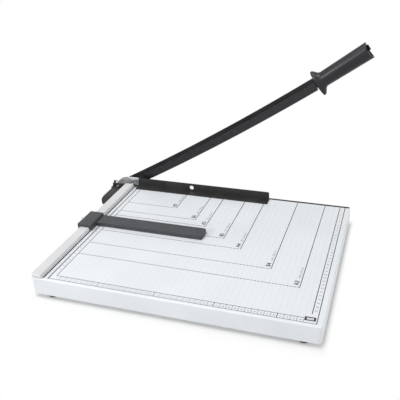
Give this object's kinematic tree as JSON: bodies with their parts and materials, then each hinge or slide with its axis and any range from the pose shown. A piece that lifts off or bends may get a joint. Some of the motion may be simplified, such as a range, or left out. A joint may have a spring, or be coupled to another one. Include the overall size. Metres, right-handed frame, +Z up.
{
  "type": "paper trimmer",
  "caption": "Guillotine paper trimmer: white sheet-steel table with printed sizes and a left fence, bowed black cutting arm with grip handle, lever-worked paper clamp bar and sliding stop.",
  "frame": {"origin": "on the floor under the middle of the trimmer's box with the arm raised as in the picture", "axes": "+Z up, +X along the cut from the fence towards the handle, -Y towards the user"},
  "size_m": [0.5405, 0.4152, 0.3631],
  "materials": {
    "white_enamel": "satin white powder coat",
    "black_enamel": "satin black enamel",
    "blade_steel": "blackened steel, ground at the edge",
    "ledger_steel": "oiled steel",
    "zinc": "zinc plated",
    "nickel": "bright nickel",
    "grey_casting": "fine cast",
    "bronze": "sintered",
    "black_rubber": "matt",
    "black_plastic": "fine grained satin",
    "grey_plastic": "fine grained matt"
  },
  "bodies": {
    "base": {"base_pan": "white_enamel", "foot_front_left": "black_rubber", "foot_front_right": "black_rubber", "foot_rear_left": "black_rubber", "foot_rear_right": "black_rubber", "foot_screws": "zinc", "fence": "white_enamel", "fence_screws": "zinc", "ledger_blade": "ledger_steel", "ledger_screws": "zinc", "nut_rail": "zinc", "pivot_bracket": "grey_casting", "pivot_plate": "white_enamel", "plate_screws": "zinc", "pivot_bolt": "zinc", "pivot_washers": "zinc", "pivot_spring": "zinc", "pivot_nut": "zinc"},
    "arm": {"arm_bar": "black_enamel", "cutting_blade": "blade_steel", "blade_screws": "black_enamel", "pivot_bush": "bronze", "handle_grip": "black_plastic", "handle_screws": "zinc", "handle_plug": "black_plastic"},
    "clamp": {"clamp_bar": "black_enamel", "clamp_lug": "grey_casting", "clamp_rivets": "black_enamel", "clamp_shaft": "zinc", "shaft_collar": "zinc", "clamp_lever": "black_plastic"},
    "stop": {"stop_block": "grey_plastic", "stop_bar": "grey_plastic", "stop_screws": "zinc"},
    "thumb": {"thumb_screw": "nickel"}
  },
  "joints": [
    {"name": "arm_pivot", "type": "hinge", "parent": "base", "child": "arm", "pos_m": [-0.2437, 0.17845, 0.0325], "axis": [0, 1, 0], "range_deg": [-35, 31.3]},
    {"name": "clamp_lift", "type": "hinge", "parent": "base", "child": "clamp", "pos_m": [-0.2172, 0.16895, 0.0399], "axis": [-1, 0, 0], "range_deg": [0, 20]},
    {"name": "stop_slide", "type": "slide", "parent": "base", "child": "stop", "axis": [0, 1, 0], "range_m": [-0.16, 0.08]},
    {"name": "thumb_turn", "type": "hinge", "parent": "stop", "child": "thumb", "pos_m": [-0.2172, -0.01355, 0.0422], "axis": [1, 0, 0], "range_deg": [0, 720]}
  ]
}
